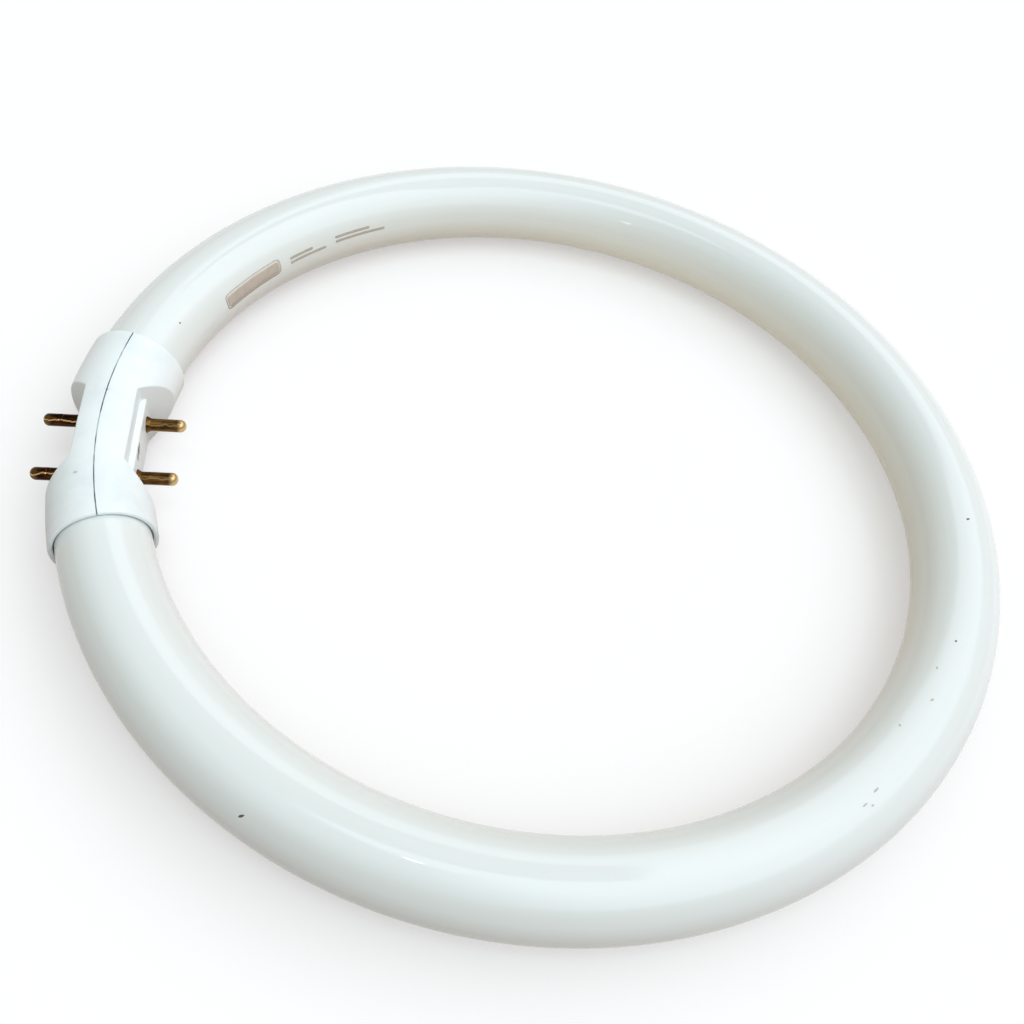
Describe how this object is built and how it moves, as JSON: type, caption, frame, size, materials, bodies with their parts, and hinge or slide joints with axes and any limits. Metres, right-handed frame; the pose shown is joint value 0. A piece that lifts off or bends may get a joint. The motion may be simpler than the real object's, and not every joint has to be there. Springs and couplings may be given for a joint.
{
  "type": "circular fluorescent tube",
  "caption": "Ring of milky glass tube whose two ends meet in a white moulded cap, with brass contact pins that point out of the ring and into it.",
  "frame": {"origin": "centre of the ring, in the plane of the axis of its glass", "axes": "+Z along the axis of the ring; the cap is at -X, with its outer pins pointing to -X and its inner pins to +X; its mouths face -Y, the front, and +Y"},
  "size_m": [0.182, 0.178, 0.018],
  "materials": {
    "glass": "milky white under a clear glossy skin",
    "cap": "satin white moulding",
    "pin": "dull, with a dark tarnish",
    "lead": "bare wire"
  },
  "bodies": {
    "root": {"glass_tube": "glass", "outer_cap_half": "cap", "inner_cap_half": "cap", "outer_front_pin": "pin", "outer_front_lead": "lead", "outer_rear_pin": "pin", "outer_rear_lead": "lead", "inner_front_pin": "pin", "inner_front_lead": "lead", "inner_rear_pin": "pin", "inner_rear_lead": "lead"}
  },
  "joints": []
}
